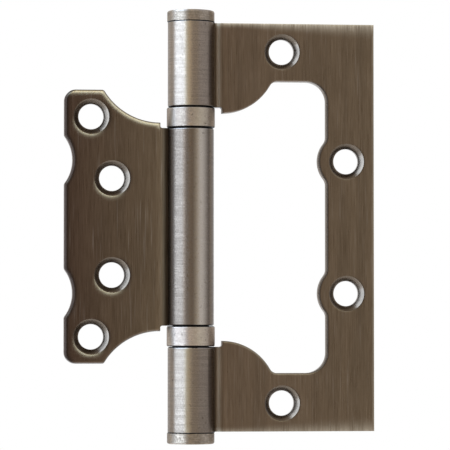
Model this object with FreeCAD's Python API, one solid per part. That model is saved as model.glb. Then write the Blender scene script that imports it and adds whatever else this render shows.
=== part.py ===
import FreeCAD, Part
import math
import os

from FreeCAD import Vector

# Surface mount hinge, open flat. Two leaves of one thickness are stamped from sheet steel and each
# rolls its own knuckles round a headed pin. The small leaf nests in the large leaf's window when the
# hinge closes, so neither leaf needs a recess in the door. A ball thrust bearing sits at each joint
# between two knuckles.
#
# Millimetres. The pin's axis is Z and the origin is on it at mid-height. The large leaf lies to +X,
# the small leaf to -X, and both have their countersinks on the front, -Y.

# Sheet and knuckles
sheet = 2.5
pin_radius = 3.1
pin_play = 0.05
bend_start = 7.6
seam_angle = 12.0
end_round = 0.2
bearing_end_round = 0.45

# Heights along the barrel
barrel_height = 100.4
outer_knuckle = 20.9
bearing_space = 5.15

# Large leaf and its window
large_reach = 45.2
end_trim = 0.2
end_bar = 14.25
stile = 11.8
fin_overhang = 1.45
fin_radius = 13.65
fin_root_round = 2.0
fin_foot_round = 0.5
window_corner = 5.0
boss_radius = 7.05
boss_blend = 2.5

# Small leaf, the window's outline drawn in all round
nest_gap = 2.35
tab_corner = 2.8
tab_hook_round = 0.8
notch_blend = 1.2

# The press rolls the cut edges over on the front, more on the small leaf
large_roll = 0.45
small_roll = 0.7

# Screw holes
hole_radius = 3.1
countersink_radius = 4.35
bar_hole_inset = 6.9
bar_hole_x = 22.4
stile_hole_inset = 6.8
stile_hole_z = 16.25
tab_hole_inset = 6.55
inner_hole_x = 19.4
inner_hole_z = 11.8

# Tips of the barrel: the pin's head above, a plug below
tip_radius = 5.8
tip_height = 2.75
tip_round = 0.5
rim_chamfer = 0.15
spigot_length = 4.0
spigot_play = 0.01
pin_chamfer = 0.5

# Thrust bearings
shroud_radius = 5.9
shroud_wall = 0.45
shroud_gap = 0.1
shroud_round = 0.4
lip_reach = 0.9
ball_diameter = 1.588
ball_count = 10
ball_play = 0.02
ball_sink = 0.15
cage_height = 0.75
race_play = 0.1
bearing_play = 0.06

# Places that follow from the sizes
bore = pin_radius + pin_play
knuckle_radius = bore + sheet
front = -sheet / 2
back = sheet / 2
barrel_end = barrel_height / 2
leaf_end = barrel_end - end_trim
outer_start = barrel_end - outer_knuckle
middle_end = outer_start - bearing_space
window_top = leaf_end - end_bar
window_wall = large_reach - stile
fin_tip = outer_start - fin_overhang
fin_centre = fin_tip + fin_radius
stile_hole_x = large_reach - stile_hole_inset
small_reach = window_wall - nest_gap
small_top = window_top - nest_gap
casing_bore = shroud_radius - shroud_wall
pitch_radius = (bore + casing_bore) / 2
clear = knuckle_radius + sheet
roll = bore + sheet / 2
bend = (bend_start**2 - roll**2) / (2 * roll)
meet = math.degrees(math.atan2(bend, bend_start))
axis = Vector(0, 0, 1)
origin = Vector(0, 0, 0)


def polar(centre, radius, degrees):
    """A point at a radius and an angle round a centre, in the XY plane."""
    turn = math.radians(degrees)
    return centre + Vector(radius * math.cos(turn), radius * math.sin(turn), 0)


def arc(centre, radius, start, end):
    """An arc in the XY plane, from one angle to another by way of the middle one."""
    points = [polar(centre, radius, a) for a in (start, (start + end) / 2, end)]
    return Part.Arc(*points).toShape()


def rolled_sheet(reach, height):
    """A leaf's sheet over its whole height: flat, then bent back and rolled round the pin."""
    bend_centre = Vector(bend_start, bend, 0)
    last = 360 - seam_angle
    edges = [
        Part.makeLine(Vector(reach, front, 0), Vector(bend_start, front, 0)),
        arc(bend_centre, bend + sheet / 2, 270, 180 + meet),
        arc(origin, bore, meet, last),
        Part.makeLine(polar(origin, bore, last), polar(origin, knuckle_radius, last)),
        arc(origin, knuckle_radius, last, meet),
        arc(bend_centre, bend - sheet / 2, 180 + meet, 270),
        Part.makeLine(Vector(bend_start, back, 0), Vector(reach, back, 0)),
        Part.makeLine(Vector(reach, back, 0), Vector(reach, front, 0)),
    ]
    section = Part.Face(Part.Wire(edges))
    section.translate(Vector(0, 0, -height / 2))
    return section.extrude(Vector(0, 0, height))


def rounded(prism, corners):
    """Round a prism's edges along Y at each (x, z, radius), above and below mid-height."""
    for x, z, radius in corners:
        picked = [
            edge
            for edge in prism.Edges
            if len(edge.Vertexes) == 2
            and all(math.hypot(v.X - x, abs(v.Z) - z) < 1e-3 for v in edge.Vertexes)
        ]
        prism = prism.makeFillet(radius, picked)
    return prism


def nest(inset, knuckle_end, hook_round, corner_round, blend):
    """The window and the middle knuckle's space as one prism along Y, drawn in by an inset."""
    tip = fin_tip - inset
    top = window_top - inset
    wall = window_wall - inset
    fin = fin_radius + inset
    boss = boss_radius + inset
    hook_x = bend_start + math.sqrt(fin**2 - (fin_centre - top) ** 2)
    fin_turn = (math.pi / 2 + math.atan2(fin_centre - top, hook_x - bend_start)) / 2
    fin_x = bend_start + fin * math.cos(fin_turn)
    fin_z = fin_centre - fin * math.sin(fin_turn)
    boss_half = math.sqrt(boss**2 - (stile_hole_x - wall) ** 2)
    boss_top = stile_hole_z + boss_half
    boss_foot = stile_hole_z - boss_half

    def half(side):
        """One half's edges, from the barrel to the far wall: side is 1 above and -1 below."""
        path = [
            [(-clear, knuckle_end), (bend_start, knuckle_end)],
            [(bend_start, knuckle_end), (bend_start, tip)],
            [(bend_start, tip), (fin_x, fin_z), (hook_x, top)],
            [(hook_x, top), (wall, top)],
            [(wall, top), (wall, boss_top)],
            [(wall, boss_top), (stile_hole_x - boss, stile_hole_z), (wall, boss_foot)],
            [(wall, boss_foot), (wall, 0)],
        ]
        edges = []
        for step in path:
            points = [Vector(x, -clear, side * z) for x, z in step]
            shape = Part.Arc(*points).toShape() if len(step) == 3 else Part.makeLine(*points)
            edges.append(shape)
        return edges

    barrel_side = Part.makeLine(
        Vector(-clear, -clear, -knuckle_end), Vector(-clear, -clear, knuckle_end)
    )
    outline = Part.Wire(Part.__sortEdges__(half(1) + half(-1) + [barrel_side]))
    space = Part.Face(outline).extrude(Vector(0, 2 * clear, 0))
    corners = [
        (bend_start, knuckle_end, fin_foot_round),
        (hook_x, top, hook_round),
        (wall, top, corner_round),
        (wall, boss_top, blend),
        (wall, boss_foot, blend),
    ]
    return rounded(space, corners)


def rolled_over(leaf, roll, side_x, side_z):
    """Round the front edges that the press cut, apart from the sheared sides at side_x and side_z."""
    picked = []
    for edge in leaf.Edges:
        middle = edge.valueAt((edge.FirstParameter + edge.LastParameter) / 2)
        on_front = abs(middle.y - front) < 1e-4
        on_front = on_front and all(abs(v.Y - front) < 1e-4 for v in edge.Vertexes)
        sheared = abs(middle.x - side_x) < 1e-4 or abs(abs(middle.z) - side_z) < 1e-4
        if on_front and middle.x > bend_start + 1e-3 and not sheared:
            picked.append(edge)
    return leaf.makeFillet(roll, picked)


def blunted(leaf, z, inwards, size):
    """Round a knuckle's outer rim at height z. The knuckle lies on the inwards side of it."""
    rim = knuckle_radius - size
    foot = z + inwards * size
    middle = math.sqrt(0.5) * size
    points = [Vector(r, 0, h) for r, h in ((rim, z), (clear, z), (clear, foot), (knuckle_radius, foot))]
    edges = [Part.makeLine(a, b) for a, b in zip(points, points[1:])]
    bulge = Vector(rim + middle, 0, foot - inwards * middle)
    edges.append(Part.Arc(points[-1], bulge, points[0]).toShape())
    section = Part.Face(Part.Wire(edges))
    section.rotate(origin, axis, meet)
    return leaf.cut(section.revolve(origin, axis, 360 - seam_angle - meet))


def screw_hole(x, z):
    """A countersunk hole's cutter, with its cone opening to the front."""
    ahead = Vector(0, 1, 0)
    depth = countersink_radius - hole_radius
    shank = Part.makeCylinder(hole_radius, 3 * sheet, Vector(x, -1.5 * sheet, z), ahead)
    mouth = Vector(x, front - sheet, z)
    cone = Part.makeCone(countersink_radius + sheet, hole_radius, depth + sheet, mouth, ahead)
    return shank.fuse(cone)


def drilled(leaf, places):
    """Cut a countersunk hole at each place, above and below mid-height."""
    for x, z in places:
        for side in (z, -z):
            leaf = leaf.cut(screw_hole(x, side))
    return leaf


def large_leaf():
    """The C-shaped leaf with the two outer knuckles, its flat trimmed just inside their ends."""
    leaf = rolled_sheet(large_reach, barrel_height)
    corner = Vector(tip_radius, -clear, leaf_end)
    above = Part.makeBox(large_reach, 2 * clear, 2 * end_trim, corner)
    corner.z = -leaf_end - 2 * end_trim
    below = Part.makeBox(large_reach, 2 * clear, 2 * end_trim, corner)
    leaf = leaf.cut(above).cut(below)
    leaf = leaf.cut(nest(0, outer_start, fin_root_round, window_corner, boss_blend))
    leaf = rolled_over(leaf, large_roll, large_reach, leaf_end)
    for side in (1, -1):
        leaf = blunted(leaf, side * barrel_end, -side, end_round)
        leaf = blunted(leaf, side * outer_start, side, bearing_end_round)
    bar_hole = (bar_hole_x, leaf_end - bar_hole_inset)
    return drilled(leaf, [bar_hole, (stile_hole_x, stile_hole_z)])


def small_leaf():
    """The leaf with the middle knuckle, built to +X and mirrored to its own side."""
    blank_reach = small_reach + sheet
    blank_end = small_top + sheet
    leaf = rolled_sheet(blank_reach, 2 * blank_end)
    leaf = leaf.common(nest(nest_gap, middle_end, tab_hook_round, tab_corner, notch_blend))
    leaf = rolled_over(leaf, small_roll, blank_reach, blank_end)
    for side in (1, -1):
        leaf = blunted(leaf, side * middle_end, -side, bearing_end_round)
    tab_hole = (small_reach - tab_hole_inset, small_top - tab_hole_inset)
    leaf = drilled(leaf, [tab_hole, (inner_hole_x, inner_hole_z)])
    return leaf.mirror(origin, Vector(1, 0, 0))


def turned(profile, rounds=()):
    """Revolve a closed profile of (radius, z) points, then round the rings at (radius, z, size)."""
    points = [Vector(r, 0, z) for r, z in profile]
    ring = Part.Face(Part.makePolygon(points + points[:1])).revolve(origin, axis, 360)
    for r, z, size in rounds:
        picked = []
        for edge in ring.Edges:
            if not hasattr(edge.Curve, "Radius"):
                continue
            if abs(edge.Curve.Radius - r) < 1e-4 and abs(edge.Curve.Center.z - z) < 1e-4:
                picked.append(edge)
        ring = ring.makeFillet(size, picked)
    return ring


def hinge_pin():
    """A headed pin. Its head is the upper tip of the barrel."""
    head_top = barrel_end + tip_height
    foot = -barrel_end + spigot_length + pin_chamfer
    profile = [
        (0, foot),
        (pin_radius - pin_chamfer, foot),
        (pin_radius, foot + pin_chamfer),
        (pin_radius, barrel_end),
        (tip_radius - rim_chamfer, barrel_end),
        (tip_radius, barrel_end + rim_chamfer),
        (tip_radius, head_top),
        (0, head_top),
    ]
    return turned(profile, [(tip_radius, head_top, tip_round)])


def bottom_plug():
    """A plug like the pin's head, with a spigot driven into the lowest knuckle."""
    base = -barrel_end - tip_height
    spigot = bore - spigot_play
    profile = [
        (0, base),
        (tip_radius, base),
        (tip_radius, -barrel_end - rim_chamfer),
        (tip_radius - rim_chamfer, -barrel_end),
        (spigot, -barrel_end),
        (spigot, -barrel_end + spigot_length),
        (0, -barrel_end + spigot_length),
    ]
    return turned(profile, [(tip_radius, base, tip_round)])


def shroud(low, high):
    """A drawn steel casing, its rim rolled in at both ends to hold the races together."""
    lip = casing_bore - lip_reach
    profile = [
        (lip, low),
        (shroud_radius, low),
        (shroud_radius, high),
        (lip, high),
        (lip, high - shroud_wall),
        (casing_bore, high - shroud_wall),
        (casing_bore, low + shroud_wall),
        (lip, low + shroud_wall),
    ]
    rounds = [(shroud_radius, low, shroud_round), (shroud_radius, high, shroud_round)]
    return turned(profile, rounds)


def race(radius, knuckle_z, centre_z):
    """A washer with a ball groove. Its hub passes the shroud's lip and bears on a knuckle."""
    inwards = 1 if centre_z > knuckle_z else -1
    shoulder = knuckle_z + inwards * (shroud_gap + shroud_wall + bearing_play)
    track = centre_z - inwards * (ball_diameter / 2 - ball_sink)
    eye = bore + race_play
    hub = casing_bore - lip_reach - bearing_play
    profile = [
        (eye, knuckle_z),
        (hub, knuckle_z),
        (hub, shoulder),
        (radius, shoulder),
        (radius, track),
        (eye, track),
    ]
    centre = Vector(0, 0, centre_z)
    groove = Part.makeTorus(pitch_radius, ball_diameter / 2 + ball_play, centre)
    return turned(profile).cut(groove)


def ball_places(z):
    """The balls' places round the pin at one height."""
    step = 360 / ball_count
    return [polar(Vector(0, 0, z), pitch_radius, step * n) for n in range(ball_count)]


def cage(centre_z):
    """A flat ring with a pocket for each ball."""
    foot = Vector(0, 0, centre_z - cage_height / 2)
    ring = Part.makeCylinder(casing_bore - race_play, cage_height, foot)
    ring = ring.cut(Part.makeCylinder(bore + race_play, cage_height, foot))
    for place in ball_places(foot.z):
        ring = ring.cut(Part.makeCylinder(ball_diameter / 2 + ball_play, cage_height, place))
    return ring


def bearing(name, side):
    """One thrust bearing as named pieces: side is 1 above the middle knuckle and -1 below it."""
    inner_z = side * middle_end
    outer_z = side * outer_start
    centre_z = (inner_z + outer_z) / 2
    inner_race = "bottom_race" if side > 0 else "top_race"
    outer_race = "top_race" if side > 0 else "bottom_race"
    low = min(inner_z, outer_z) + shroud_gap
    high = max(inner_z, outer_z) - shroud_gap
    pieces = {
        f"{name}_shroud": shroud(low, high),
        f"{name}_{inner_race}": race(casing_bore, inner_z, centre_z),
        f"{name}_{outer_race}": race(casing_bore - bearing_play, outer_z, centre_z),
        f"{name}_cage": cage(centre_z),
    }
    for n, place in enumerate(ball_places(centre_z), 1):
        pieces[f"{name}_ball_{n}"] = Part.makeSphere(ball_diameter / 2, place)
    return pieces


hinge = {
    "large_leaf": large_leaf(),
    "small_leaf": small_leaf(),
    "hinge_pin": hinge_pin(),
    "bottom_plug": bottom_plug(),
}
hinge.update(bearing("upper_bearing", 1))
hinge.update(bearing("lower_bearing", -1))

os.makedirs("parts", exist_ok=True)
for node, shape in hinge.items():
    shape.exportStep("parts/" + node + ".step")
    print(node, len(shape.Solids), "solid,", round(shape.Volume, 2), "mm3, valid:", shape.isValid())
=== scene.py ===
import math

import bmesh
import bpy
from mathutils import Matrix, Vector


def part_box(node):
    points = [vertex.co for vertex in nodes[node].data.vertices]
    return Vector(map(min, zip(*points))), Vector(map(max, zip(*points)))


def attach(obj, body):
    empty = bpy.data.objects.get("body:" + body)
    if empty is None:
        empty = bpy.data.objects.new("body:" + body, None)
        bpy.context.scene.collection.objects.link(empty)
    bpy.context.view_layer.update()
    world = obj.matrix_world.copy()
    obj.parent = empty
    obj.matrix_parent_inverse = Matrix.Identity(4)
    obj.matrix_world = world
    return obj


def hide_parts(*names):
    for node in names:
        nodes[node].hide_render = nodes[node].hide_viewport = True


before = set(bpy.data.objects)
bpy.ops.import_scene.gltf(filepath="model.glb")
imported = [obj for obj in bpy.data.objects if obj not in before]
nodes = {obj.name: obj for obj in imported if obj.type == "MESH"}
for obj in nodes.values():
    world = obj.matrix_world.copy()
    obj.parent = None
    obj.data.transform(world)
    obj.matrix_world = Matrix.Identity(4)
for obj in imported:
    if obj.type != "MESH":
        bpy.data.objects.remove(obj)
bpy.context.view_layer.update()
mm = 0.001

# Large leaf
# One steel pressing: a C-shaped flat with a window, rolled over at its two ends into the upper and
# lower knuckles. It is plated in antique bronze and relieved with straight strokes along its height,
# while the knuckles are polished round their axis. It is screwed to the frame.
leaf_end = 50.0 * mm
outer_edge = 45.2 * mm
knuckle_radius = 5.65 * mm
bend_end = 7.7 * mm
flat_start = 8.2 * mm
fold_start = 5.6 * mm
fold_end = 9.0 * mm
countersink_radius = 4.35 * mm
broken_edge = 0.08 * mm


def linear(hex_colour):
    """An sRGB colour written as hex, turned to linear."""
    channels = [int(hex_colour[i : i + 2], 16) / 255 for i in (1, 3, 5)]
    return [c / 12.92 if c <= 0.04045 else ((c + 0.055) / 1.055) ** 2.4 for c in channels] + [1.0]


def add(tree, kind, inputs=None, **settings):
    """Add a node with its settings. An input is a value, a socket, or a node, for its first output."""
    made = tree.nodes.new("ShaderNode" + kind)
    for name, value in settings.items():
        setattr(made, name, value)
    for socket, value in (inputs or {}).items():
        if isinstance(value, bpy.types.Node):
            value = next(output for output in value.outputs if output.enabled)
        if isinstance(value, bpy.types.NodeSocket):
            tree.links.new(value, made.inputs[socket])
        else:
            made.inputs[socket].default_value = value
    return made


def begun(name):
    """An empty material, and its tree with the object's own coordinates."""
    material = bpy.data.materials.new(name)
    material.use_nodes = True
    material.node_tree.nodes.clear()
    return material, material.node_tree, add(material.node_tree, "TexCoord")


def brushed_plate(name, left, right, from_x, to_x, wear_and_highlight, reach, end_rub, fold_patina_and_shading):
    """Antique bronze plate brushed straight along the leaf's height, in fine lines of light and dark.

    The strokes are drawn 0.25 mm wide, because the real ones are too fine to show. The plate goes from
    one brown to the other between from_x and to_x; on the small leaf this is painted shade, darker to
    the left. Where an edge faces up it is painted cream by wear_and_highlight, over reach: partly wear
    where the brush has rubbed the brown down to metal, partly a painted highlight of the light from
    above. It is rubbed cream by end_rub where its strokes begin and end. An edge that faces left is
    painted black, as painted shade. The cut sides that face right or down are painted paler, as painted
    light, and black by the fold, as painted shade. Each of fold_patina_and_shading gives a place across
    the fold beside the knuckle, from 0 at fold_start to 1 at fold_end, and what the tone is multiplied
    by there, in red and in blue. It darkens the groove by the knuckle, partly patina and partly painted
    shade, and lightens the crest, partly polish and partly a painted highlight.
    """
    material, tree, place = begun(name)
    here = place.outputs["Object"]
    spot = add(tree, "SeparateXYZ", {0: here})
    stroke_width = 0.25 * mm
    stroke_length = 8 * mm
    band_width = 2.2 * mm
    band_length = 30 * mm

    # Fine strokes over broad bands, with a bright scratch here and there.
    fine = (1 / stroke_width, 1 / stroke_width, 1 / stroke_length)
    lines = add(tree, "Mapping", {"Vector": here, "Scale": fine})
    strokes = add(tree, "TexNoise", {"Vector": lines, "Scale": 1.0, "Detail": 5.0, "Roughness": 0.75})
    broad = (1 / band_width, 1 / band_width, 1 / band_length)
    bands = add(tree, "Mapping", {"Vector": here, "Scale": broad})
    shades = add(tree, "TexNoise", {"Vector": bands, "Scale": 1.0, "Detail": 2.0})
    grain = add(tree, "Mix", {"Factor": 0.3, "A": strokes, "B": shades})
    grey = {"Value": grain, "From Min": 0.3, "From Max": 0.7, "To Min": 0.68, "To Max": 1.32}
    grey = add(tree, "MapRange", grey)
    # On the small leaf this change of brown is painted shade, darker towards its left.
    along = add(tree, "MapRange", {"Value": spot.outputs["X"], "From Min": from_x, "From Max": to_x})
    brown = add(tree, "Mix", {"Factor": along, "A": linear(left), "B": linear(right)}, data_type="RGBA")
    brown = {"Factor": 1.0, "A": brown, "B": grey}
    brown = add(tree, "Mix", brown, data_type="RGBA", blend_type="MULTIPLY")
    rare = add(tree, "TexNoise", {"Vector": lines, "Scale": 0.7, "Detail": 1.0})
    bright = add(tree, "MapRange", {"Value": rare, "From Min": 0.64, "From Max": 0.76, "To Max": 0.1})
    brown = add(tree, "Mix", {"Factor": bright, "A": brown, "B": linear("#9a8b7b")}, data_type="RGBA")

    # The cut sides, which face neither the front nor the back. Those that face right or down are painted
    # paler, as painted light, and by the fold black, as painted shade.
    flatten = add(tree, "Mapping", {"Vector": here, "Scale": (1, 1, 0)})
    radius = add(tree, "VectorMath", {0: flatten}, operation="LENGTH")
    off_fold = add(tree, "MapRange", {"Value": radius, "From Min": bend_end, "From Max": flat_start})
    facing = add(tree, "SeparateXYZ", {0: place.outputs["Normal"]})
    level = add(tree, "Math", {0: facing.outputs["Y"]}, operation="ABSOLUTE")
    cut = add(tree, "MapRange", {"Value": level, "From Min": 0.93, "From Max": 0.6})
    right_or_down = {0: facing.outputs["Z"], 1: -0.7, 2: facing.outputs["X"]}
    right_or_down = add(tree, "Math", right_or_down, operation="MULTIPLY_ADD")
    right_or_down = {"Value": right_or_down, "From Min": -0.6, "From Max": -0.1}
    right_or_down = add(tree, "MapRange", right_or_down)
    thinned = add(tree, "MapRange", {"Value": off_fold, "To Min": 1.0, "To Max": 0.55})
    for share in (right_or_down, thinned):
        cut = add(tree, "Math", {0: cut, 1: share}, operation="MULTIPLY")
    # Pale where painted light falls on the side, black by the fold as painted shade.
    bare = {"Factor": off_fold, "A": linear("#15110e"), "B": linear("#8c8173")}
    bare = add(tree, "Mix", bare, data_type="RGBA")
    brown = add(tree, "Mix", {"Factor": cut, "A": brown, "B": bare}, data_type="RGBA")

    # The edges that face up, painted cream: partly wear from the brush, partly a painted highlight of
    # the light from above. Those that face left are painted black, as painted shade.
    softened = {"Vector": add(tree, "Bevel", {"Radius": reach}, samples=8)}
    to_object = {"vector_type": "NORMAL", "convert_from": "WORLD", "convert_to": "OBJECT"}
    softened = add(tree, "VectorTransform", softened, **to_object)
    lean = add(tree, "SeparateXYZ", {0: softened})
    upward = {0: lean.outputs["X"], 1: 0.25, 2: lean.outputs["Z"]}
    upward = add(tree, "Math", upward, operation="MULTIPLY_ADD")
    rubbed_and_highlit = add(tree, "MapRange", {"Value": upward, "From Min": 0.1, "From Max": 0.48})
    flat = add(tree, "MapRange", {"Value": facing.outputs["Y"], "From Min": -0.65, "From Max": -0.97})
    for share in (flat, off_fold, wear_and_highlight):
        rubbed_and_highlit = add(tree, "Math", {0: rubbed_and_highlit, 1: share}, operation="MULTIPLY")
    colour = add(tree, "Mix", {"Factor": rubbed_and_highlit, "A": brown, "B": linear("#d9cba6")}, data_type="RGBA")
    black = {"Value": lean.outputs["X"], "From Min": -0.03, "From Max": -0.3, "To Max": 0.85}
    black = add(tree, "MapRange", black)
    front = add(tree, "MapRange", {"Value": facing.outputs["Y"], "From Min": -0.4, "From Max": -0.75})
    for share in (off_fold, front):
        black = add(tree, "Math", {0: black, 1: share}, operation="MULTIPLY")
    colour = add(tree, "Mix", {"Factor": black, "A": colour, "B": linear("#1c1510")}, data_type="RGBA")

    # The rub where the strokes begin and end is 1.6 mm deep by the barrel and 4.5 mm at the corner,
    # and stronger above. The outer side has a little of it.
    height = add(tree, "Math", {0: spot.outputs["Z"]}, operation="ABSOLUTE")
    inset = add(tree, "Math", {0: leaf_end, 1: height}, operation="SUBTRACT")
    depth = {"Value": spot.outputs["X"], "From Min": 12 * mm, "From Max": 44 * mm}
    depth = add(tree, "MapRange", depth | {"To Min": 1.6 * mm, "To Max": 4.5 * mm})
    inset = add(tree, "Math", {0: inset, 1: depth}, operation="DIVIDE")
    rubbed_and_highlit = add(tree, "MapRange", {"Value": inset, "From Min": 1.0, "From Max": 0.0})
    rubbed_and_highlit = add(tree, "Math", {0: rubbed_and_highlit, 1: 2.5}, operation="POWER")
    upper = {"Value": spot.outputs["Z"], "From Min": -1 * mm, "From Max": 1 * mm}
    upper = add(tree, "MapRange", upper | {"To Min": 0.4, "To Max": 0.75})
    ragged = {"Value": grain, "From Min": 0.38, "From Max": 0.62, "To Min": 0.4, "To Max": 1.3}
    ragged = add(tree, "MapRange", ragged)
    for share in (upper, ragged):
        rubbed_and_highlit = add(tree, "Math", {0: rubbed_and_highlit, 1: share}, operation="MULTIPLY")
    side = {"Value": spot.outputs["X"], "From Min": outer_edge - 0.6 * mm, "From Max": outer_edge}
    side = add(tree, "MapRange", side | {"To Max": 0.25})
    rubbed_and_highlit = add(tree, "Math", {0: rubbed_and_highlit, 1: side}, operation="MAXIMUM")
    rubbed_and_highlit = add(tree, "Math", {0: rubbed_and_highlit, 1: end_rub}, operation="MULTIPLY")
    colour = add(tree, "Mix", {"Factor": rubbed_and_highlit, "A": colour, "B": linear("#dfcfb2")}, data_type="RGBA")

    # The tones across the fold beside the knuckle: the groove next to it darker, partly patina and
    # partly painted shade, and the crest paler, partly polish and partly a painted highlight. The ramp's
    # own first stop goes, and its last is 1.
    fold = add(tree, "MapRange", {"Value": radius, "From Min": fold_start, "From Max": fold_end})
    fold = add(tree, "ValToRGB", {"Fac": fold})
    stops = fold.color_ramp.elements
    for at, red, blue in fold_patina_and_shading:
        stops.new(at).color = (red, (red + blue) / 2, blue, 1)
    stops[-1].color = (1, 1, 1, 1)
    stops.remove(stops[0])
    colour = {"Factor": 1.0, "A": colour, "B": fold}
    colour = add(tree, "Mix", colour, data_type="RGBA", blend_type="MULTIPLY")

    smooth = {"Value": strokes, "From Min": 0.35, "From Max": 0.65, "To Min": 0.27, "To Max": 0.37}
    smooth = add(tree, "MapRange", smooth)
    scratch = add(tree, "Bump", {"Height": strokes, "Strength": 0.2, "Distance": 0.01 * mm})
    shader = {"Base Color": colour, "Metallic": 1.0, "Roughness": smooth, "Normal": scratch}
    shader = add(tree, "BsdfPrincipled", shader | {"Anisotropic": 0.7, "Anisotropic Rotation": 0.0})
    add(tree, "OutputMaterial", {"Surface": shader})
    return material


def unbrushed_plate(name):
    """Antique bronze plate that no brush reached, in a screw's hole and countersink.

    It is as it left the bath: a smooth dark skin, faintly clouded, which reflects more sharply.
    """
    material, tree, place = begun(name)
    cloud_size = 3 * mm
    clouds = {"Vector": place.outputs["Object"], "Scale": 1 / cloud_size, "Detail": 1.0}
    clouds = add(tree, "TexNoise", clouds)
    tone = add(tree, "MapRange", {"Value": clouds, "From Min": 0.3, "From Max": 0.7})
    colour = {"Factor": tone, "A": linear("#504437"), "B": linear("#5d4f40")}
    colour = add(tree, "Mix", colour, data_type="RGBA")
    smooth = add(tree, "MapRange", {"Value": tone, "To Min": 0.22, "To Max": 0.28})
    shader = add(tree, "BsdfPrincipled", {"Base Color": colour, "Metallic": 1.0, "Roughness": smooth})
    add(tree, "OutputMaterial", {"Surface": shader})
    return material


def turned_plate(name, low, high, smoothest, roughest, drag, stroke, grit, polish_and_shading_streaks):
    """Antique bronze plate finished round the pin's axis, on a knuckle, a tip or a shroud.

    Its strokes are drawn 0.3 mm wide, because the real ones are too fine to show, and stroke long round
    the axis. Drag is how far they stretch a reflection along it. Grit is the size of the speckle of
    tumbled parts, whose pits are matt and whose high spots are smooth. The tone goes from low to high
    up the hinge. A rim that faces up is painted pale, partly rubbed and partly a painted highlight.
    Ends that face another part are painted black, partly the black of the bath and partly painted
    shade between the parts, and a few specks keep the black of the bath. Along its front it has stripes:
    pale ones partly deeper polish and partly painted highlight and reflection, dark ones partly brown
    that the polish left and partly painted shade. Each of polish_and_shading_streaks has its X, its half
    width, its share and its tone.
    """
    material, tree, place = begun(name)
    here = place.outputs["Object"]
    spot = add(tree, "SeparateXYZ", {0: here})
    lean = add(tree, "SeparateXYZ", {0: place.outputs["Normal"]})
    stroke_width = 0.3 * mm
    speck_spacing = 1.1 * mm

    # Strokes and speckle over the brown.
    fine = (1 / stroke, 1 / stroke, 1 / stroke_width)
    lines = add(tree, "Mapping", {"Vector": here, "Scale": fine})
    strokes = add(tree, "TexNoise", {"Vector": lines, "Scale": 1.0, "Detail": 3.0, "Roughness": 0.6})
    sand = add(tree, "TexNoise", {"Vector": here, "Scale": 1 / grit, "Detail": 2.0, "Roughness": 0.6})
    grain = add(tree, "Mix", {"Factor": 0.5, "A": strokes, "B": sand})
    grey = {"Value": grain, "From Min": 0.3, "From Max": 0.7, "To Min": 0.75, "To Max": 1.25}
    grey = add(tree, "MapRange", grey)
    up = add(tree, "MapRange", {"Value": spot.outputs["Z"], "From Min": -leaf_end, "From Max": leaf_end})
    brown = add(tree, "Mix", {"Factor": up, "A": linear(low), "B": linear(high)}, data_type="RGBA")
    colour = {"Factor": 1.0, "A": brown, "B": grey}
    colour = add(tree, "Mix", colour, data_type="RGBA", blend_type="MULTIPLY")

    # Stripes along the front: pale ones partly polish and partly painted highlight and reflection, dark
    # ones partly brown left by the polish and partly painted shade.
    front = add(tree, "MapRange", {"Value": spot.outputs["Y"], "From Min": 0.0, "From Max": -3 * mm})
    for streak_x, half_width, share, tone in polish_and_shading_streaks:
        aside = add(tree, "Math", {0: spot.outputs["X"], 1: streak_x}, operation="SUBTRACT")
        aside = add(tree, "Math", {0: aside}, operation="ABSOLUTE")
        polish_and_shading = {"Value": aside, "From Min": half_width, "From Max": 0.0}
        polish_and_shading = add(tree, "MapRange", polish_and_shading, interpolation_type="SMOOTHSTEP")
        polish_and_shading = add(tree, "Math", {0: polish_and_shading, 1: front}, operation="MULTIPLY")
        polish_and_shading = add(tree, "Math", {0: polish_and_shading, 1: share}, operation="MULTIPLY")
        colour = add(tree, "Mix", {"Factor": polish_and_shading, "A": colour, "B": linear(tone)}, data_type="RGBA")

    # The dark specks; the rim that faces up, painted pale, partly rubbed and partly a painted highlight;
    # and the ends between two parts, painted black, partly the bath's black and partly painted shade.
    specks = {"Vector": here, "Scale": 1 / speck_spacing, "Detail": 3.0, "Roughness": 0.7}
    specks = {"Value": add(tree, "TexNoise", specks), "From Min": 0.62, "From Max": 0.74, "To Max": 0.6}
    specks = add(tree, "MapRange", specks)
    colour = add(tree, "Mix", {"Factor": specks, "A": colour, "B": linear("#35291b")}, data_type="RGBA")
    rim = {"Value": lean.outputs["Z"], "From Min": 0.03, "From Max": 0.3, "To Max": 0.15}
    rim = add(tree, "MapRange", rim)
    colour = add(tree, "Mix", {"Factor": rim, "A": colour, "B": linear("#dcd6ca")}, data_type="RGBA")
    under = add(tree, "MapRange", {"Value": lean.outputs["Z"], "From Min": -0.2, "From Max": -0.6})
    over = add(tree, "MapRange", {"Value": lean.outputs["Z"], "From Min": 0.35, "From Max": 0.6})
    ends = add(tree, "Math", {0: under, 1: over}, operation="MAXIMUM")
    height = add(tree, "Math", {0: spot.outputs["Z"]}, operation="ABSOLUTE")
    inside = add(tree, "Math", {0: height, 1: leaf_end + 1 * mm}, operation="LESS_THAN")
    black = add(tree, "Math", {0: ends, 1: inside}, operation="MULTIPLY")
    colour = add(tree, "Mix", {"Factor": black, "A": colour, "B": linear("#14100d")}, data_type="RGBA")

    rough = {"Value": grain, "From Min": 0.45, "From Max": 0.6, "To Min": roughest, "To Max": smoothest}
    rough = add(tree, "MapRange", rough)
    scratch = add(tree, "Bump", {"Height": grain, "Strength": 0.3, "Distance": 0.012 * mm})
    shader = {"Base Color": colour, "Metallic": 1.0, "Roughness": rough, "Normal": scratch}
    shader = add(tree, "BsdfPrincipled", shader | {"Anisotropic": drag, "Anisotropic Rotation": 0.25})
    add(tree, "OutputMaterial", {"Surface": shader})
    return material


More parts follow.
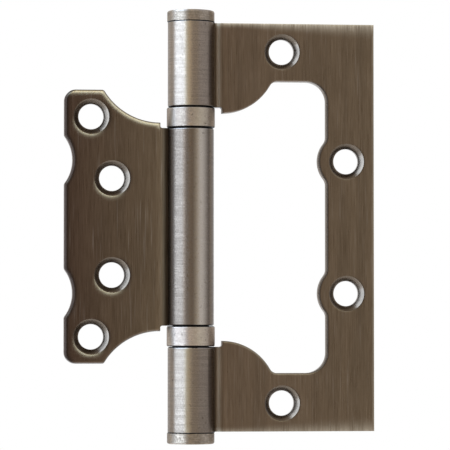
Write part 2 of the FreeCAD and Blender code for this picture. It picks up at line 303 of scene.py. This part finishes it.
def dressed(node, finishes, screws):
    """A leaf's own form as one closed mesh, with its sharp edges broken as the plating leaves them.

    The finishes are those of its flat, of its knuckles, and of the countersinks for its screws. Each
    screw is given by its X and Z.
    """
    same_point = 0.0001 * mm
    flat_within = math.radians(0.2)
    sharp_from = math.radians(25)
    rolled_within = knuckle_radius + 0.02 * mm
    sunk_within = countersink_radius + 0.1 * mm
    flat_from = 0.88

    form = bmesh.new()
    form.from_mesh(nodes[node].data)
    bmesh.ops.remove_doubles(form, verts=form.verts, dist=same_point)
    bmesh.ops.dissolve_limit(form, angle_limit=flat_within, verts=form.verts, edges=form.edges)
    sharp = [e for e in form.edges if e.is_manifold and e.calc_face_angle() > sharp_from]
    bmesh.ops.bevel(
        form,
        geom=sharp,
        offset=broken_edge,
        offset_type="OFFSET",
        segments=2,
        profile=0.5,
        affect="EDGES",
        clamp_overlap=True,
    )
    mesh = bpy.data.meshes.new(node + "_plated")
    form.to_mesh(mesh)
    form.free()
    for finish in finishes:
        mesh.materials.append(finish)
    for face in mesh.polygons:
        face.use_smooth = True
        if math.hypot(face.center.x, face.center.y) < rolled_within:
            face.material_index = 1
        for x, z in screws:
            off_screw = math.hypot(face.center.x - x, face.center.z - z)
            if off_screw < sunk_within and abs(face.normal.y) < flat_from:
                face.material_index = 2
    leaf = bpy.data.objects.new(node + "_plated", mesh)
    bpy.context.scene.collection.objects.link(leaf)
    flats = leaf.modifiers.new("flats stay flat", "WEIGHTED_NORMAL")
    flats.weight = 50
    return leaf


skin = unbrushed_plate("unbrushed_antique_bronze")
# Across the fold: painted shade with patina in the groove, a painted highlight with polish on the crest.
large_fold_patina_and_shading = (
    (0.0, 0.35, 0.35),
    (0.12, 0.72, 0.72),
    (0.2, 1.0, 1.12),
    (0.3, 1.38, 1.62),
    (0.38, 1.35, 1.8),
    (0.53, 1.05, 1.15),
    (0.64, 0.86, 0.86),
    (0.76, 1.05, 1.05),
    (0.88, 1.12, 1.1),
)
large_brown = brushed_plate(
    "brushed_antique_bronze",
    left="#554433",
    right="#564634",
    from_x=10 * mm,
    to_x=45 * mm,
    # Its edges that face up are painted a little cream, partly wear and partly a painted highlight.
    wear_and_highlight=0.22,
    reach=0.8 * mm,
    end_rub=0.6,
    fold_patina_and_shading=large_fold_patina_and_shading,
)
large_round = turned_plate(
    "polished_antique_bronze",
    low="#645647",
    high="#706151",
    smoothest=0.28,
    roughest=0.44,
    drag=0.6,
    stroke=6 * mm,
    grit=0.3 * mm,
    # A warm stripe, partly polish and partly a painted reflection.
    polish_and_shading_streaks=((-1.3 * mm, 1.3 * mm, 0.13, "#c9ad78"),),
)
large_screws = (
    (22.4 * mm, 43.1 * mm),
    (38.4 * mm, 16.25 * mm),
    (38.4 * mm, -16.25 * mm),
    (22.4 * mm, -43.1 * mm),
)
large_leaf = dressed("large_leaf", [large_brown, large_round, skin], large_screws)
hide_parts("large_leaf")
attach(large_leaf, "frame_side")

# Hinge pin
# A turned steel pin, driven through the upper knuckle. Its low domed head is the upper tip, which was
# tumbled before plating, so it is paler and more matt than the knuckle under it.
# Pale stripes partly polish and partly painted highlight; the dark one partly brown, partly painted
# shade.
tip_polish_and_shading = (
    (-5.1 * mm, 1.4 * mm, 0.14, "#d0c5b4"),
    (-1.1 * mm, 1.5 * mm, 0.4, "#5f4c35"),
    (3.5 * mm, 2.4 * mm, 0.18, "#d2c1a8"),
)
tip_finish = turned_plate(
    "tumbled_antique_bronze_tip",
    low="#857460",
    high="#8a7965",
    smoothest=0.46,
    roughest=0.7,
    drag=0.95,
    stroke=2 * mm,
    grit=0.4 * mm,
    polish_and_shading_streaks=tip_polish_and_shading,
)
nodes["hinge_pin"].data.materials[0] = tip_finish

# Bottom plug
# The lower tip: a short turned steel plug with a spigot, pressed into the lower knuckle after the pin.
# It is tumbled and plated as the pin is, so it has the same finish.
nodes["bottom_plug"].data.materials[0] = tip_finish

# Small leaf
# A second pressing of the same sheet, drawn in from the window's outline all round so that it nests
# there, with the middle knuckle rolled from it. It is darker than the large leaf, with painted shade
# darkening it towards its left, and its edges that face up are painted cream more strongly, partly
# wear and partly a painted highlight. Its knuckle has a satin finish. It is screwed to the door.
# Across the fold: painted shade with patina in the groove, a painted highlight with polish on the crest.
small_fold_patina_and_shading = (
    (0.0, 0.95, 0.95),
    (0.1, 0.52, 0.52),
    (0.2, 0.42, 0.48),
    (0.3, 0.68, 0.83),
    (0.38, 1.1, 1.5),
    (0.5, 1.35, 1.6),
    (0.66, 1.2, 1.25),
    (0.85, 1.12, 1.12),
)
small_brown = brushed_plate(
    "darker_brushed_antique_bronze",
    # Its brown is painted darker towards the left, as painted shade.
    left="#3a2a1e",
    right="#524230",
    from_x=-31 * mm,
    to_x=-8 * mm,
    # Its edges that face up are painted cream strongly, partly wear and partly a painted highlight.
    wear_and_highlight=0.92,
    reach=2.0 * mm,
    end_rub=0.0,
    fold_patina_and_shading=small_fold_patina_and_shading,
)
# Pale stripes partly polish and partly painted highlight; the dark one partly brown, partly painted
# shade.
small_polish_and_shading = (
    (-2.0 * mm, 0.9 * mm, 0.5, "#3b2a1a"),
    (1.9 * mm, 2.3 * mm, 0.38, "#d2c1a8"),
    (4.4 * mm, 0.9 * mm, 0.1, "#b9ab9d"),
)
small_round = turned_plate(
    "satin_antique_bronze",
    low="#54473a",
    high="#54473a",
    smoothest=0.26,
    roughest=0.4,
    drag=0.6,
    stroke=6 * mm,
    grit=0.3 * mm,
    polish_and_shading_streaks=small_polish_and_shading,
)
small_screws = (
    (-24.5 * mm, 26.85 * mm),
    (-19.4 * mm, 11.8 * mm),
    (-19.4 * mm, -11.8 * mm),
    (-24.5 * mm, -26.85 * mm),
)
small_leaf = dressed("small_leaf", [small_brown, small_round, skin], small_screws)
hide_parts("small_leaf")
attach(small_leaf, "door_side")

# Bearings
# Above and below the middle knuckle a drawn shroud holds a ball thrust bearing: two ground races, a
# punched brass cage and ten balls. The shroud is plated like the tips, and its ends are rolled in.
balls = 10
# Pale stripes partly polish and partly painted highlight; the dark one partly brown, partly painted
# shade.
shroud_polish_and_shading = (
    (-5.2 * mm, 1.4 * mm, 0.3, "#d0c5b4"),
    (-2.6 * mm, 2.4 * mm, 0.22, "#6b5a48"),
    (1.9 * mm, 3.1 * mm, 0.45, "#d2c0a2"),
)
shroud_finish = turned_plate(
    "tumbled_antique_bronze_shroud",
    low="#a38f7b",
    high="#8d7b67",
    smoothest=0.5,
    roughest=0.72,
    drag=1.0,
    stroke=1.5 * mm,
    grit=0.35 * mm,
    polish_and_shading_streaks=shroud_polish_and_shading,
)
cage_low, cage_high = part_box("upper_bearing_cage")
track_height = (cage_low[2] + cage_high[2]) / 2
track_depth = 0.85 * mm


def race_steel(name):
    """Hardened bearing steel, black with oil as quenched, and ground bright where the balls run.

    The wheel leaves fine rings round the axis. They are drawn 0.1 mm wide, so that they show close up.
    """
    material, tree, place = begun(name)
    here = place.outputs["Object"]
    spot = add(tree, "SeparateXYZ", {0: here})
    ring_width = 0.1 * mm
    rings = add(tree, "Mapping", {"Vector": here, "Scale": (1, 1, 0)})
    wheel = {"W": add(tree, "VectorMath", {0: rings}, operation="LENGTH"), "Scale": 1 / ring_width}
    wheel = add(tree, "TexNoise", wheel | {"Detail": 2.0}, noise_dimensions="1D")
    ground = {"Factor": wheel, "A": linear("#9a9c9e"), "B": linear("#c9cbcd")}
    ground = add(tree, "Mix", ground, data_type="RGBA")
    height = add(tree, "Math", {0: spot.outputs["Z"]}, operation="ABSOLUTE")
    track = add(tree, "Math", {0: height, 1: track_height, 2: track_depth}, operation="COMPARE")
    colour = add(tree, "Mix", {"Factor": track, "A": linear("#1b1918"), "B": ground}, data_type="RGBA")
    rough = add(tree, "MapRange", {"Value": wheel, "To Min": 0.2, "To Max": 0.45})
    shader = add(tree, "BsdfPrincipled", {"Base Color": colour, "Metallic": 1.0, "Roughness": rough})
    add(tree, "OutputMaterial", {"Surface": shader})
    return material


def greased_metal(name, dark, light, smoothest, roughest, cloud_size):
    """A bare metal of the bearing's inside, clouded by its film of grease.

    The lapped steel of the balls is nearly a mirror. The brass strip of the cage is yellow and duller,
    with the faint dents of the punch.
    """
    material, tree, place = begun(name)
    film = {"Vector": place.outputs["Object"], "Scale": 1 / cloud_size, "Detail": 3.0}
    film = add(tree, "TexNoise", film)
    colour = add(tree, "Mix", {"Factor": film, "A": linear(dark), "B": linear(light)}, data_type="RGBA")
    rough = add(tree, "MapRange", {"Value": film, "To Min": smoothest, "To Max": roughest})
    dents = add(tree, "Bump", {"Height": film, "Strength": 0.2, "Distance": 0.01 * mm})
    shader = {"Base Color": colour, "Metallic": 1.0, "Roughness": rough, "Normal": dents}
    add(tree, "OutputMaterial", {"Surface": add(tree, "BsdfPrincipled", shader)})
    return material


race_finish = race_steel("ground_and_blackened_bearing_steel")
ball_finish = greased_metal(
    "lapped_chrome_steel",
    dark="#c4c6c9",
    light="#dcdee0",
    smoothest=0.04,
    roughest=0.16,
    cloud_size=0.4 * mm,
)
cage_finish = greased_metal(
    "punched_brass_strip",
    dark="#a07c3f",
    light="#c9a45e",
    smoothest=0.22,
    roughest=0.5,
    cloud_size=0.6 * mm,
)
for side in ("upper", "lower"):
    nodes[side + "_bearing_shroud"].data.materials[0] = shroud_finish
    nodes[side + "_bearing_top_race"].data.materials[0] = race_finish
    nodes[side + "_bearing_bottom_race"].data.materials[0] = race_finish
    nodes[side + "_bearing_cage"].data.materials[0] = cage_finish
    for number in range(1, balls + 1):
        nodes[f"{side}_bearing_ball_{number}"].data.materials[0] = ball_finish

# Floor and lights
# A plain white studio. Its floor is of pale matt paint, well below the hinge, because a hinge hangs on
# a door. Its sky is white, and four softboxes on stands light the hinge.
sky_light = 0.8
floor_glow = 0.55
floor_reach = 2.5
floor_drop = 0.26


def seen_itself(tree):
    """1 for the rays that show the studio itself: the camera's, and those of gloss and of glass."""
    ray = add(tree, "LightPath")
    seen = ray.outputs["Is Camera Ray"]
    for kind in ("Is Glossy Ray", "Is Transmission Ray"):
        seen = add(tree, "Math", {0: seen, 1: ray.outputs[kind]}, operation="MAXIMUM")
    return seen


# The sky lights the hinge at sky_light, and shows at 1, which is white.
world = bpy.data.worlds.new("white_studio")
bpy.context.scene.world = world
world.use_nodes = True
sky = world.node_tree
sky.nodes.clear()
strength = add(sky, "MapRange", {"Value": seen_itself(sky), "To Min": sky_light, "To Max": 1.0})
white = add(sky, "Background", {"Color": (1, 1, 1, 1), "Strength": strength})
add(sky, "OutputWorld", {"Surface": white})

# The floor takes shadows, and shows brighter by floor_glow, so that it is as white as the sky.
floor_paint, tree, _ = begun("pale_studio_floor")
paint = add(tree, "BsdfPrincipled", {"Base Color": linear("#e6e4e0"), "Roughness": 0.9})
glow = add(tree, "Emission", {"Color": (1, 1, 1, 1), "Strength": floor_glow})
clear = add(tree, "AddShader", {0: paint, 1: glow})
mixed = add(tree, "MixShader", {0: seen_itself(tree), 1: paint, 2: clear})
add(tree, "OutputMaterial", {"Surface": mixed})
form = bmesh.new()
bmesh.ops.create_grid(form, x_segments=1, y_segments=1, size=floor_reach)
bmesh.ops.translate(form, verts=form.verts, vec=(0, 0, -floor_drop))
mesh = bpy.data.meshes.new("floor")
form.to_mesh(mesh)
form.free()
mesh.materials.append(floor_paint)
floor = bpy.data.objects.new("floor", mesh)
bpy.context.scene.collection.objects.link(floor)


def way_to(azimuth, elevation):
    """The way from the hinge to a stand. Azimuth 0 is in front of it, and minus is to the left."""
    turn = math.radians(azimuth)
    rise = math.radians(elevation)
    return Vector((math.sin(turn) * math.cos(rise), -math.cos(turn) * math.cos(rise), math.sin(rise)))


def softbox(name, azimuth, elevation, distance, width, height, radiance, colour):
    """A rectangular lamp on a stand, aimed at the middle of the hinge. Its sizes are in metres."""
    lamp = bpy.data.lights.new(name, "AREA")
    lamp.shape = "RECTANGLE"
    lamp.size = width
    lamp.size_y = height
    lamp.energy = radiance * math.pi * width * height
    lamp.color = colour
    stand = bpy.data.objects.new(name, lamp)
    way = way_to(azimuth, elevation)
    stand.location = way * distance
    stand.rotation_mode = "QUATERNION"
    stand.rotation_quaternion = way.to_track_quat("Z", "Y")
    stand.visible_camera = False
    bpy.context.scene.collection.objects.link(stand)


softbox(
    "left_softbox",
    azimuth=-64,
    elevation=7,
    distance=0.6,
    width=0.7,
    height=1.5,
    radiance=6.2,
    colour=(0.86, 1.25, 1.95),
)
softbox(
    "right_softbox",
    azimuth=66,
    elevation=10,
    distance=0.7,
    width=0.9,
    height=1.0,
    radiance=0.55,
    colour=(0.3, 0.55, 1.15),
)
softbox(
    "rear_softbox",
    azimuth=-122,
    elevation=5,
    distance=0.8,
    width=0.8,
    height=1.2,
    radiance=0.45,
    colour=(0.85, 1.0, 1.2),
)
softbox(
    "top_softbox",
    azimuth=-10,
    elevation=30,
    distance=0.7,
    width=0.2,
    height=0.3,
    radiance=2.4,
    colour=(1.0, 0.88, 0.62),
)

# Camera
# A long lens on a tripod. It stands a little left of the hinge and below its middle, as in the
# photograph, and looks just right of the middle of the open leaves.
aim = Vector((8.438, 0, 0.524)) * mm
distance = 737.2 * mm
way = way_to(azimuth=-6.994, elevation=-1.970)
camera = bpy.data.cameras.new("camera")
camera.sensor_width = 36.0
camera.lens = 240.67
tripod = bpy.data.objects.new("camera", camera)
tripod.location = aim + way * distance
tripod.rotation_mode = "QUATERNION"
tripod.rotation_quaternion = way.to_track_quat("Z", "Y")
bpy.context.scene.collection.objects.link(tripod)
bpy.context.scene.camera = tripod
bpy.context.scene.view_settings.view_transform = "Standard"
